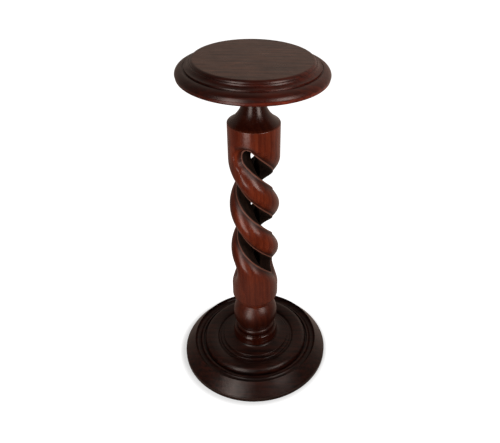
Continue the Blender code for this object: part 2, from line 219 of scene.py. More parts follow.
class Finish(PropertyGroup):
    """Colours, grain and polish of the wood"""

    top_dark: colour("Top dark", "The top's darker grain", (0.014, 0.0040, 0.0020))
    top_light: colour("Top light", "The top's lighter grain", (0.135, 0.0560, 0.0330))
    edge_dark: colour("Edge dark", "The darker grain of the top's mouldings", (0.022, 0.0032, 0.0018))
    edge_light: colour("Edge light", "The lighter grain of the top's mouldings", (0.060, 0.0090, 0.0040))
    column_dark: colour("Column dark", "The column's darker grain", (0.112, 0.0165, 0.0065))
    column_light: colour("Column light", "The column's lighter grain", (0.205, 0.0390, 0.0150))
    # Pale colour of the slots' lips and the drum's lip: wear with painted highlight.
    rim: colour("Rim", "The rubbed lips of the slots", (0.210, 0.0850, 0.0580))
    bloom: colour("Bloom", "The dull bloom on the lower drum", (0.115, 0.0520, 0.0420))
    base_dark: colour("Base dark", "The base's darker grain", (0.0040, 0.0018, 0.0014))
    base_light: colour("Base light", "The base's lighter grain", (0.0300, 0.0072, 0.0042))
    # Near black in the slots: stain with painted shade.
    slot_stain_and_shade: colour("Slot black", "The stain deep in the slots", (0.0170, 0.0090, 0.0060))
    # Pale colour for the painted highlight on the bevel and for the rubbed toe.
    dust_and_sheen: colour("Dust", "The dull film on the base's border", (0.055, 0.040, 0.034))
    top_roughness: share("Top roughness", "How dull the top's polish is", 0.30)
    column_roughness: share("Column roughness", "How dull the column's polish is", 0.24)
    base_roughness: share("Base roughness", "How dull the base's polish is", 0.34)
    base_gloss: share("Base gloss", "How strongly the base's polish mirrors", 0.37)
    foot_dullness: share("Foot dullness", "How much duller the column's foot is", 0.09)
    grain_stretch: share("Grain stretch", "A streak's width as a share of its length", 0.07)
    ring_width: length("Ring width", "From one growth ring to the next", 0.0090)
    streak_width: length("Streak width", "Width of the broad streaks", 0.0060)
    fibre_width: length("Fibre width", "Width of the fine streaks", 0.0014)
    pore_width: length("Pore width", "Width of the open pores", 0.0006)
    cloud_size: length("Cloud size", "Size of the uneven patches of stain", 0.0700)
    ripple_size: length("Ripple size", "Size of the hand-worked unevenness", 0.0220)
    ripple_depth: length("Ripple depth", "Depth of that unevenness", 0.0006)
    wear: strength("Wear", "How much paler the edges are rubbed", 0.55)
    # How much shade is painted into the creases.
    crease_shading: share("Grime", "How much darker the creases are", 0.75)


class Studio(PropertyGroup):
    """The camera, the lights and the floor"""

    camera_place: FloatVectorProperty(
        name="Camera place",
        description="Where the camera stands",
        default=(-0.0101, -0.9863, 1.0849),
        size=3,
        subtype="TRANSLATION",
    )
    camera_heading: angle("Camera heading", "The camera's turn about the upright", -5.09)
    camera_tilt: angle("Camera tilt", "The camera's angle up from straight down", 54.845)
    camera_roll: angle("Camera roll", "The camera's turn about its own line of sight", 2.137)
    lens: FloatProperty(name="Lens", description="Focal length", default=39.873, min=1.0, unit="CAMERA")
    shift: FloatProperty(name="Shift", description="Sideways shift of the frame", default=-0.0805)
    light_distance: length("Light distance", "From the stand to the two tall soft lights", 1.5)
    light_width: length("Light width", "Width of each tall light", 0.62)
    light_top: length("Light top", "Height of the lights' tops", 1.75)
    left_azimuth: angle("Left azimuth", "The left light's place round the stand", -31.0)
    left_foot: signed_length("Left foot", "Where the left light starts", -0.14)
    right_azimuth: angle("Right azimuth", "The right light's place round the stand", 43.0)
    right_foot: signed_length("Right foot", "Where the right light starts", 0.58)
    left_power: strength("Left power", "The left light's watts for a square metre", 13.5)
    right_power: strength("Right power", "The right light's watts for a square metre", 17.5)
    card_distance: length("Card distance", "From the stand to the dark card before the right light", 0.55)
    card_width: length("Card width", "Width of that card", 0.50)
    card_height: length("Card height", "Height of that card", 0.24)
    light_tint: colour("Light tint", "The lights' warm white", (1.0, 0.84, 0.77))
    room_tint: colour("Room tint", "The room's warm grey", (1.0, 0.76, 0.64))
    front_glow: strength("Front glow", "The room before the stand, as the polish mirrors it", 0.03)
    back_glow: strength("Back glow", "The room behind the stand, as the polish mirrors it", 0.28)
    right_glow: strength("Right glow", "How much brighter the room is behind on the right", 0.28)
    floor_size: length("Floor size", "The pale floor's width", 40.0)
    floor_glow: strength("Floor glow", "Light that the floor gives by itself", 1.0)
    floor_shade: strength("Floor shade", "That light right beside the base", 0.48)
    shade_width: length("Shade width", "How far that shade reaches from the base", 0.0230)


class PlantStand(PropertyGroup):
    """All the sizes, colours and studio settings of the plant stand"""

    top: PointerProperty(type=TopSizes)
    base: PointerProperty(type=BaseSizes)
    column: PointerProperty(type=ColumnSizes)
    twist: PointerProperty(type=TwistSizes)
    fineness: PointerProperty(type=Fineness)
    finish: PointerProperty(type=Finish)
    studio: PointerProperty(type=Studio)


# Curves for outlines, which are lists of (radius, height) that run from the top down


def evenly(first, last, steps):
    return [first + (last - first) * step / steps for step in range(steps + 1)]


def toward(start, end, part):
    """The point that lies a part of the way from start to end."""
    return tuple(a + (b - a) * part for a, b in zip(start, end))


def level_first(start, end, steps):
    """A quarter of an ellipse that leaves its start level and reaches its end upright."""
    reach, drop = end[0] - start[0], start[1] - end[1]
    turns = evenly(0.0, math.pi / 2, steps)
    return [(start[0] + reach * math.sin(turn), end[1] + drop * math.cos(turn)) for turn in turns]


def upright_first(start, end, steps):
    """A quarter of an ellipse that leaves its start upright and reaches its end level."""
    reach, drop = end[0] - start[0], start[1] - end[1]
    turns = evenly(0.0, math.pi / 2, steps)
    return [(end[0] - reach * math.cos(turn), start[1] - drop * math.sin(turn)) for turn in turns]


def drawn_curve(start, pull, end, steps):
    """A smooth curve from start to end, drawn towards the point pull."""
    curve = []
    for part in evenly(0.0, 1.0, steps):
        first, second, third = (1 - part) ** 2, 2 * part * (1 - part), part**2
        curve.append(tuple(first * a + second * b + third * c for a, b, c in zip(start, pull, end)))
    return curve


def ball_curve(middle, radius, top_radius, bottom_radius, steps):
    """The side of a ball, from where it is top_radius wide down to where it is bottom_radius wide."""
    turns = evenly(math.acos(top_radius / radius), -math.acos(bottom_radius / radius), steps)
    return [(radius * math.cos(turn), middle + radius * math.sin(turn)) for turn in turns]


def eased(outline, width):
    """The outline with each sharp corner rounded, starting and ending width away from it."""
    far = [0.0]
    for start, end in zip(outline, outline[1:]):
        far.append(far[-1] + math.dist(start, end))

    def at(distance):
        index = max(i for i in range(len(far) - 1) if far[i] <= distance)
        part = (distance - far[index]) / (far[index + 1] - far[index])
        return toward(outline[index], outline[index + 1], part)

    corners = [i for i in range(1, len(outline) - 1) if turn_at(outline, i) > EASE_ANGLE]
    stops = [0.0, *[far[i] for i in corners], far[-1]]
    rounded, after = [], -1.0
    for number, corner in enumerate(corners, 1):
        stop = stops[number]
        reach = min(width, (stop - stops[number - 1]) / 2, (stops[number + 1] - stop) / 2)
        rounded += [point for point, place in zip(outline, far) if after < place < stop - reach]
        rounded += drawn_curve(at(stop - reach), outline[corner], at(stop + reach), EASE_STEPS)
        after = stop + reach + MERGE_DISTANCE
    return rounded + [point for point, place in zip(outline, far) if place > after]


def turn_at(outline, index):
    """How sharply the outline turns at one of its points."""
    before = Vector(outline[index]) - Vector(outline[index - 1])
    after = Vector(outline[index + 1]) - Vector(outline[index])
    return before.angle(after)


def held_flat(outline, width):
    """The outline with a point near both ends of each long straight stretch, so that it shades flat."""
    held = [outline[0]]
    for start, end in zip(outline, outline[1:]):
        distance = math.dist(start, end)
        if distance > LONG_STRETCH * width:
            held += [toward(start, end, part) for part in (width / distance, 1 - width / distance)]
        held.append(end)
    return held


# Outlines of the pieces


def top_outline(top, steps):
    underside, face = TOP_LOW.z, TOP_HIGH.z
    ovolo_start = top.radius - top.ovolo_width
    arris = ovolo_start - top.quirk_width
    step = arris - top.cove_width
    bead = step - top.step_width
    edge = top.radius - top.edge_setback
    edge_height = underside + top.edge_height
    ovolo_height = edge_height + top.ovolo_height
    arris_height = ovolo_height + top.fillet_height
    step_height = arris_height + top.cove_height
    return [
        *level_first((bead - top.bead_width, face), (bead, step_height), steps),
        *upright_first((step, step_height), (arris, arris_height), steps),
        (arris, ovolo_height - top.quirk_depth),
        (ovolo_start, ovolo_height - top.quirk_depth),
        *level_first((ovolo_start, ovolo_height), (top.radius, edge_height), steps),
        (edge, edge_height),
        *upright_first((edge, underside + top.edge_round), (edge - top.edge_round, underside), steps),
    ]


def base_outline(base, steps):
    seat_height = BASE_HIGH.z
    bevel_foot = base.radius - base.toe_width
    bevel_edge = bevel_foot - base.bevel_width
    ring_outer = bevel_edge - base.cove_width
    ring_inner = ring_outer - base.ring_width
    torus_outer = ring_inner - base.quirk_width
    torus_inner = torus_outer - base.torus_width
    fillet_outer = torus_inner - base.channel_width
    boss = fillet_outer - base.fillet_width
    cove_floor = ((ring_outer + bevel_edge) / 2, base.cove_floor)
    crown = (torus_outer - base.torus_round, base.torus_top)
    return [
        *upright_first((base.seat_radius, seat_height), (boss - base.boss_round, base.boss_top), steps),
        (boss, base.boss_top - base.boss_round),
        (boss, base.fillet_top),
        *level_first(
            (fillet_outer - base.fillet_round, base.fillet_top),
            (fillet_outer, base.fillet_top - base.fillet_round),
            steps // 2,
        ),
        (fillet_outer, base.channel_floor),
        *upright_first((torus_inner, base.channel_floor), crown, steps),
        *level_first(crown, (torus_outer, base.torus_top - base.torus_round), steps)[1:],
        (torus_outer, base.quirk_floor),
        (ring_inner, base.quirk_floor),
        (ring_inner, base.ring_top),
        *upright_first((ring_outer, base.ring_top), cove_floor, steps),
        *level_first(cove_floor, (bevel_edge, base.bevel_top), steps)[1:],
        (bevel_foot, base.bevel_foot),
        *level_first((bevel_foot, base.toe_height), (base.radius, base.toe_square), steps // 2),
        (base.radius, 0.0),
    ]


def foot_outline(column, levels, steps, ball_steps):
    """The column below its lower drum."""
    ball, seat = column.ball_radius, column.ball_seat_radius
    ovolo_top = levels.collar_base - column.foot_fillet_height
    fillet = column.foot_radius - column.foot_ovolo_width
    collar_middle = (column.collar_radius, levels.collar_base + column.collar_height / 2)
    return [
        (column.throat_radius, levels.shaft_base),
        *ball_curve(levels.ball_middle, ball, column.throat_radius, seat, ball_steps),
        *level_first((seat, levels.ball_base), collar_middle, steps)[1:],
        *upright_first(collar_middle, (column.crease_radius, levels.collar_base), steps)[1:],
        (fillet, levels.collar_base),
        *level_first(
            (fillet, ovolo_top), (column.foot_radius, levels.foot_base + column.foot_square_height), steps
        ),
        (column.foot_radius, levels.foot_base),
    ]


def neck_outline(column, levels, steps, shoulder_steps):
    """The column above its upper drum."""
    band = levels.column_top - column.capital_band
    return [
        (column.capital_radius, levels.column_top),
        (column.capital_radius, band),
        *level_first(
            (column.capital_radius - column.capital_step, band),
            (column.neck_radius, levels.capital_base),
            steps,
        ),
        *drawn_curve(
            (column.neck_radius, levels.neck_base),
            (column.neck_radius, levels.lip + column.shoulder_pull),
            (column.drum_radius - column.lip_width, levels.lip),
            shoulder_steps,
        ),
    ]


class ColumnLevels:
    """Heights of the column's stages above the floor."""

    def __init__(self, column):
        ball = column.ball_radius
        self.foot_base = COLUMN_LOW.z
        self.collar_base = (
            self.foot_base
            + column.foot_square_height
            + column.foot_ovolo_height
            + column.foot_fillet_height
        )
        self.ball_base = self.collar_base + column.collar_height
        self.ball_middle = self.ball_base + math.sqrt(ball**2 - column.ball_seat_radius**2)
        self.throat_base = self.ball_middle + math.sqrt(ball**2 - column.throat_radius**2)
        self.shaft_base = self.throat_base + column.throat_height
        self.drum_base = self.shaft_base + column.drum_undercut
        self.twist_base = self.drum_base + column.lower_drum_height
        self.twist_top = self.twist_base + column.twist_height
        self.lip = self.twist_top + column.upper_drum_height
        self.neck_base = self.lip + column.shoulder_height
        self.capital_base = self.neck_base + column.neck_height
        self.column_top = COLUMN_HIGH.z


# The twist


class TwistPlan:
    """The slots and strands on the drum's surface, unrolled flat.

    A point is given by its way round the drum and its drop below the middle of the slots'
    upper ends, or by how far it is along a slot and across it."""

    def __init__(self, twist, column, levels):
        self.twist = twist
        self.radius = column.drum_radius
        self.helix = math.atan2(twist.pitch, 2 * math.pi * self.radius)
        self.half_width = twist.opening / 2 * math.cos(self.helix)
        self.slot_top = levels.twist_top - self.half_width
        self.slot_length = (column.twist_height - 2 * self.half_width) / math.sin(self.helix)
        self.spacing = 2 * math.pi / twist.slots
        self.wraps = math.ceil(twist.slots * column.twist_height / twist.pitch) + 1
        self.group = twist.slot_columns + twist.strand_columns
        self.columns = self.group * twist.slots
        self.high = levels.twist_top + twist.run_out
        low = levels.twist_base - twist.run_out
        self.row_step = (self.high - low) / (twist.rows + 2 * twist.end_rows)

    def row_heights(self, first, last):
        """Heights of the blank's rows, which are evenly spaced before the strands are carved."""
        return [self.high - (row + self.twist.end_rows) * self.row_step for row in range(first, last + 1)]

    def row_of(self, height):
        return (self.high - height) / self.row_step - self.twist.end_rows

    def column_of(self, x, y):
        return (math.atan2(y, x) / (2 * math.pi) * self.columns) % self.columns

    def unrolled(self, along, across):
        way = along * math.cos(self.helix) - across * math.sin(self.helix)
        drop = along * math.sin(self.helix) + across * math.cos(self.helix)
        return way, drop

    def slot_start(self, number):
        """The middle of a slot's upper end, on the drum's surface."""
        azimuth = self.twist.top_azimuth + number * self.spacing
        return (self.radius * math.cos(azimuth), self.radius * math.sin(azimuth), self.slot_top)

    def strand_radius(self, way, drop):
        """The carved surface, full on a strand's crest and rounded over towards the slots."""
        twist = self.twist
        turn = self.radius * self.spacing
        lead = way % turn
        cut = self.radius - twist.arris_radius
        radius = self.radius
        for wrap in range(-1, self.wraps):
            place = lead + wrap * turn
            along = place * math.cos(self.helix) + drop * math.sin(self.helix)
            across = drop * math.cos(self.helix) - place * math.sin(self.helix)
            nearest = min(max(along, 0.0), self.slot_length)
            from_arris = math.hypot(along - nearest, across) - self.half_width
            grown = min(nearest / twist.widening, 1.0)
            grown = grown * grown * (3 - 2 * grown)
            width = twist.start_round + (twist.strand_round - twist.start_round) * grown
            fullness = twist.start_fullness + (twist.fullness - twist.start_fullness) * grown
            near = min(max((width - from_arris) / (width - twist.lip_width), 0.0), 1.0)
            radius = min(radius, self.radius - cut * near**fullness)
        return radius

    def slot_edge(self, row):
        """How far along a slot a row meets its edge, and the slot's half width there."""
        corner = self.twist.corner
        end_arc = self.half_width * (math.pi / 2 - corner)
        place = (self.slot_length + 2 * end_arc) * row / self.twist.rows
        from_end = min(place, self.slot_length + 2 * end_arc - place)
        if from_end >= end_arc:
            return place - end_arc, self.half_width
        turn = corner + from_end / self.half_width
        beyond = self.half_width * math.cos(turn)
        along = -beyond if place < end_arc else self.slot_length + beyond
        return along, self.half_width * math.sin(turn)

    def strand_share(self, step):
        """How far across a strand a column of faces is. The first and last are the slots' lips."""
        wide = self.twist.lip_width / (self.radius * self.spacing * math.sin(self.helix))
        last = self.twist.strand_columns
        if step in (0, last):
            return step / last
        return wide + (1 - 2 * wide) * (step - 1) / (last - 2)

    def on_slot_rows(self, column, row):
        """Way and drop of a grid point between the slots' ends, or on the ends themselves."""
        group, step = divmod(column, self.group)
        across_slot = self.twist.slot_columns
        along, half = self.slot_edge(row)
        if step > across_slot:
            part = self.strand_share(step - across_slot)
            turn = self.radius * self.spacing
            far = (along + turn * math.cos(self.helix), half - turn * math.sin(self.helix))
            along, across = toward((along, -half), far, part)
        elif row in (0, self.twist.rows):
            turn = self.twist.corner * (1 - 2 * step / across_slot)
            beyond = self.half_width * math.cos(turn)
            along = -beyond if row == 0 else self.slot_length + beyond
            across = self.half_width * math.sin(turn)
        else:
            across = half * (1 - 2 * step / across_slot)
        way, drop = self.unrolled(along, across)
        return way + group * self.radius * self.spacing, drop

    def on_ring(self, column, upper):
        """Way and drop of a point on the level ring above or below the slots."""
        reach = self.half_width + self.twist.run_out
        even = (column - self.twist.slot_columns / 2) * 2 * math.pi * self.radius / self.columns
        if upper:
            return even - reach / math.tan(self.helix), -reach
        way, drop = self.unrolled(self.slot_length, 0.0)
        return even + way + reach / math.tan(self.helix), drop + reach

    def place(self, column, row):
        """Way and drop of any grid point of the twist, with the rows easing level beyond its ends."""
        ends = self.twist.end_rows
        if 0 <= row <= self.twist.rows:
            return self.on_slot_rows(column, row)
        upper = row < 0
        start = self.on_slot_rows(column, 0 if upper else self.twist.rows)
        ring = self.on_ring(column, upper)
        part = min((-row if upper else row - self.twist.rows) / ends, 1.0)
        return toward(start, ring, part)


# Modelling


def pick(*pieces):
    """Selects these pieces alone, with the last one active."""
    if bpy.context.object and bpy.context.object.mode != "OBJECT":
        bpy.ops.object.mode_set(mode="OBJECT")
    bpy.ops.object.select_all(action="DESELECT")
    for piece in pieces:
        piece.select_set(True)
        bpy.context.view_layer.objects.active = piece


def edit(piece, mode):
    """Edit mode on one piece, with vertices, edges or faces as what is selected."""
    pick(piece)
    bpy.ops.object.mode_set(mode="EDIT")
    bpy.context.tool_settings.mesh_select_mode = tuple(mode == kind for kind in ("VERT", "EDGE", "FACE"))


def add(kind, name, **values):
    """Adds an object with one of Blender's add operators, and names it."""
    pick()
    kind(**values)
    bpy.context.object.name = name
    return bpy.context.object


def merge_all(threshold):
    """Merges the points that lie together, turns all faces outwards and leaves edit mode."""
    bpy.ops.mesh.select_all(action="SELECT")
    bpy.ops.mesh.remove_doubles(threshold=threshold)
    bpy.ops.mesh.normals_make_consistent(inside=False)
    bpy.ops.object.mode_set(mode="OBJECT")


def turned(name, outline, steps, ease):
    """A piece of turnery: the outline is drawn from the axis out and back, and spun about Z."""
    start = (0.0, 0.0, outline[0][1])
    piece = add(bpy.ops.mesh.primitive_plane_add, name, size=SAME_PLACE, location=start)
    piece.data.name = name
    bpy.ops.object.transform_apply(location=True, rotation=False, scale=False)
    edit(piece, "VERT")
    bpy.ops.mesh.select_all(action="SELECT")
    bpy.ops.mesh.merge(type="CENTER")
    points = held_flat(eased([(0.0, outline[0][1]), *outline, (0.0, outline[-1][1])], ease), ease)
    for start, end in zip(points, points[1:]):
        move = (end[0] - start[0], 0.0, end[1] - start[1])
        bpy.ops.mesh.extrude_vertices_move(TRANSFORM_OT_translate={"value": move})
    bpy.ops.mesh.select_all(action="SELECT")
    bpy.ops.mesh.spin(steps=steps, angle=2 * math.pi, center=(0, 0, 0), axis=(0, 0, 1))
    merge_all(MERGE_DISTANCE)
    return piece


def cut_slots(piece, plan):
    """Deletes the faces that lie over the slots."""
    edit(piece, "FACE")
    bpy.ops.mesh.select_all(action="DESELECT")
    bpy.ops.object.mode_set(mode="OBJECT")
    for face in piece.data.polygons:
        row = plan.row_of(face.center.z)
        step = plan.column_of(face.center.x, face.center.y) % plan.group
        over_slot = 0 < row < plan.twist.rows and step < plan.twist.slot_columns
        face.select = over_slot and math.hypot(face.center.x, face.center.y) > SAME_PLACE
    bpy.ops.object.mode_set(mode="EDIT")
    bpy.ops.mesh.delete(type="FACE")
    bpy.ops.object.mode_set(mode="OBJECT")


def twist_grid(piece, plan, fixed_radius=None):
    """Moves the points of the straight blank to their places on the twist."""
    shifts = {upper: plan.on_ring(0, upper)[0] / plan.radius for upper in (True, False)}
    for vertex in piece.data.vertices:
        x, y, height = vertex.co
        radius = math.hypot(x, y)
        if radius < SAME_PLACE:
            continue
        row = round(plan.row_of(height))
        if -plan.twist.end_rows < row < plan.twist.rows + plan.twist.end_rows:
            way, drop = plan.place(round(plan.column_of(x, y)) % plan.columns, row)
            radius = fixed_radius or plan.strand_radius(way, drop)
            azimuth, height = way / plan.radius, plan.slot_top - drop
        else:
            azimuth = math.atan2(y, x) + shifts[row < 0]
        azimuth += plan.twist.top_azimuth
        vertex.co = (radius * math.cos(azimuth), radius * math.sin(azimuth), height)
    piece.data.update()


def add_slot_walls(piece, plan):
    """Draws the slots' edges in towards the axis, down to the hollow."""
    edit(piece, "EDGE")
    bpy.ops.mesh.select_all(action="DESELECT")
    bpy.ops.mesh.select_non_manifold(
        use_wire=False, use_boundary=True, use_multi_face=False, use_non_contiguous=False, use_verts=False
    )
    radii = evenly(plan.twist.arris_radius, plan.twist.hollow_radius, plan.twist.wall_steps)
    for outer, inner in zip(radii, radii[1:]):
        bpy.ops.mesh.extrude_edges_move()
        bpy.ops.transform.resize(value=(inner / outer, inner / outer, 1.0), center_override=(0, 0, 0))
    bpy.ops.object.mode_set(mode="OBJECT")


def join(piece, other):
    """Joins another mesh into the piece, and merges the points that they share."""
    pick(other, piece)
    bpy.ops.object.join()
    edit(piece, "VERT")
    merge_all(SAME_PLACE)


def ease_arrises(piece, plan):
    """Rounds the edges where the strands meet the slots."""
    edit(piece, "EDGE")
    bpy.ops.mesh.select_all(action="DESELECT")
    mesh = bmesh.from_edit_mesh(piece.data)
    for edge in mesh.edges:
        on_arris = [abs(v.co.xy.length - plan.twist.arris_radius) < SAME_PLACE for v in edge.verts]
        edge.select_set(all(on_arris))
    bmesh.update_edit_mesh(piece.data)
    bpy.ops.mesh.bevel(
        offset=plan.twist.arris_round,
        offset_type="OFFSET",
        segments=EASE_STEPS,
        profile=0.5,
        clamp_overlap=True,
    )
    bpy.ops.object.mode_set(mode="OBJECT")


def finish_piece(piece, node, slot, *materials):
    """Shades the piece, gives it its wood and sets it in place of its part of the frame."""
    pick(piece)
    bpy.ops.object.shade_smooth_by_angle(angle=SHARP_ANGLE)
    piece.data.materials.clear()
    for material in materials:
        piece.data.materials.append(material)
    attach(piece, BODY)
    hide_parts(node)


def settings(context):
    return context.scene.plant_stand


# Shader nodes

# A mix node's sockets for colours, by number, because its other kinds share their names
MIX_SHARE, MIX_FIRST, MIX_SECOND, MIX_RESULT = 0, 6, 7, 2


class Nodes:
    """Short ways to build one tree of shader nodes."""

    def __init__(self, tree):
        self.tree = tree

    def put(self, made, links):
        """Sets a node's inputs, each by a value or by another node's output."""
        for name, source in links.items():
            if isinstance(source, bpy.types.NodeSocket):
                self.tree.links.new(source, made.inputs[name])
            else:
                made.inputs[name].default_value = source

    def node(self, kind, links=None, **options):
        made = self.tree.nodes.new(kind)
        for name, value in options.items():
            setattr(made, name, value)
        self.put(made, links or {})
        return made

    def coordinates(self, kind):
        return self.node("ShaderNodeTexCoord").outputs[kind]

    def parts(self, vector):
        return self.node("ShaderNodeSeparateXYZ", {"Vector": vector}).outputs

    def noise(self, place, size, detail=3.0, roughness=0.6, distortion=0.0):
        links = {
            "Vector": place,
            "Scale": 1 / size,
            "Detail": detail,
            "Roughness": roughness,
            "Distortion": distortion,
        }
        return self.node("ShaderNodeTexNoise", links).outputs["Fac"]

    def sums(self, operation, first, second, third=0.0):
        links = {0: first, 1: second, 2: third}
        return self.node("ShaderNodeMath", links, operation=operation).outputs["Value"]

    def times(self, first, second):
        return self.sums("MULTIPLY", first, second)

    def most(self, first, second):
        return self.sums("MAXIMUM", first, second)

    def weighed(self, *parts):
        """The sum of values, each times its weight."""
        total = 0.0
        for value, weight in parts:
            total = self.sums("MULTIPLY_ADD", value, weight, total)
        return total

    def inside(self, value, low, high):
        """One where a value lies between low and high, and nought elsewhere."""
        return self.times(self.sums("GREATER_THAN", value, low), self.sums("LESS_THAN", value, high))

    def span(self, value, low, high, start=0.0, end=1.0, kind="SMOOTHSTEP"):
        """A value that goes from start to end while another goes from low to high."""
        links = {"Value": value, "From Min": low, "From Max": high, "To Min": start, "To Max": end}
        return self.node("ShaderNodeMapRange", links, interpolation_type=kind).outputs["Result"]

    def away(self, place, middle):
        """The distance from the point middle."""
        made = self.node("ShaderNodeVectorMath", {0: place, 1: middle}, operation="DISTANCE")
        return made.outputs["Value"]

    def between(self, share, first, second, kind="MIX"):
        links = {MIX_SHARE: share, MIX_FIRST: first, MIX_SECOND: second}
        return self.node("ShaderNodeMix", links, data_type="RGBA", blend_type=kind).outputs[MIX_RESULT]

    def toned(self, tint, value):
        """A colour made lighter or darker by a value."""
        return self.between(1.0, tint, value, "MULTIPLY")

    def darkened(self, tint, share, most=1.0):
        """A colour made darker by a share, which is all of it where share and most are one."""
        return self.toned(tint, self.sums("MULTIPLY_ADD", share, -most, 1.0))

    def relief(self, value, distance, strength, **below):
        """A surface that a value raises by a distance, over the relief below it."""
        links = {"Height": value, "Distance": distance, "Strength": strength, **below}
        return self.node("ShaderNodeBump", links).outputs["Normal"]

    def steps(self, value, stops):
        """A grey read from a list of stops, each a position and the grey there."""
        made = self.node("ShaderNodeValToRGB", {"Fac": value})
        points = made.color_ramp.elements
        points[0].position, points[-1].position = stops[0][0], stops[-1][0]
        for position, _ in stops[1:-1]:
            points.new(position)
        for point, (_, grey) in zip(points, stops):
            point.color = (grey, grey, grey, 1.0)
        return made.outputs["Color"]


def new_material(name):
    """A material, its nodes and its shader."""
    material = bpy.data.materials.new(name)
    material.use_nodes = True
    return material, Nodes(material.node_tree), material.node_tree.nodes["Principled BSDF"]


# Wood

X_AXIS, Z_AXIS = 0, 2
STREAK_SHARE, FIBRE_SHARE, RING_SHARE = 0.62, 0.26, 0.12
FIGURE_RANGE = (0.34, 0.66)
PORE_RANGE, PORE_DARKNESS, PORE_DULLNESS, PORE_DEPTH = (0.60, 0.70), 0.35, 0.10, 0.00006
PORE_STRENGTH, RIPPLE_STRENGTH = 0.5, 0.8
CLOUD_RANGE, CLOUD_TONES = (0.25, 0.75), (0.74, 1.26)
# Pointiness ranges: rubbed edges, and creases that get painted shade.
RUBBED_RANGE, CREASE_SHADE_RANGE = (0.52, 0.62), (0.40, 0.49)
PATCH_SIZE, PATCH_RANGE = 0.011, (0.35, 0.62)
SMEAR_SIZE, SMEAR_SHARE = 0.030, 0.22
BLEND = 0.001

# Painted light and shade on the top: mouldings darker to the left and lighter to the right, and the
# lowest band paler.
LEFT_TO_RIGHT = (-0.8 * TOP_HIGH.x, 0.6 * TOP_HIGH.x)
LEFT_SHADE_TONE, RIGHT_LIGHT_TONE, BAND_LIGHT_TONE = 0.42, 1.55, 2.6
SPECK_SIZE, SPECK_RANGE = 0.0035, (0.46, 0.66)
# Place and reach of the painted highlight on the base's bevel; the toe's rubbing shares its colour.
SHEEN_PLACE, SHEEN_REACH = (-0.071, -0.147, 0.026), (0.006, 0.034)
SHEEN_SHARE, TOE_DUST = 0.75, 0.45

CARVED_MARGIN = 0.012
BLOOM_REACH, BLOOM_SHARE = (-0.010, 0.060), 0.34
# Painted shade on the strands beside the slots and on the drum above each slot's start.
FLANK_WIDTH, FLANK_SHADE, FLANK_DULLNESS = 0.0105, 0.80, 0.30
DISH_WIDTH, DISH_RISE, DISH_SHADE = 0.008, (0.015, 0.027), 0.72
# Painted shade on the strands' left side.
LEFT_REACH, LEFT_FOOT, LEFT_FADE, STRAND_LEFT_SHADE = (-0.050, -0.028), (0.010, 0.040), 0.050, 0.50
# Paler slot lips and drum lip: wear with painted highlight.
RIM_START, RIM_END, RIM_SHARE = 0.0003, 0.0009, 0.85
LIP_WIDTH, LIP_HEIGHT, LIP_SHARE = 0.0019, 0.0018, 0.15
# Near black deep in the slots, as stain with painted shade.
DEEP_START, DEEP_END, DEEP_DULLNESS = 0.0018, 0.0006, 0.5
FOOT_GLOSS_START, FOOT_GLOSS = 0.018, 0.10
SLOT_MARGIN, SLOT_DARK, SLOT_LIGHT, SLOT_GLOSS, SLOT_ROUGHNESS = 0.003, 0.5, 1.6, 0.12, 0.85


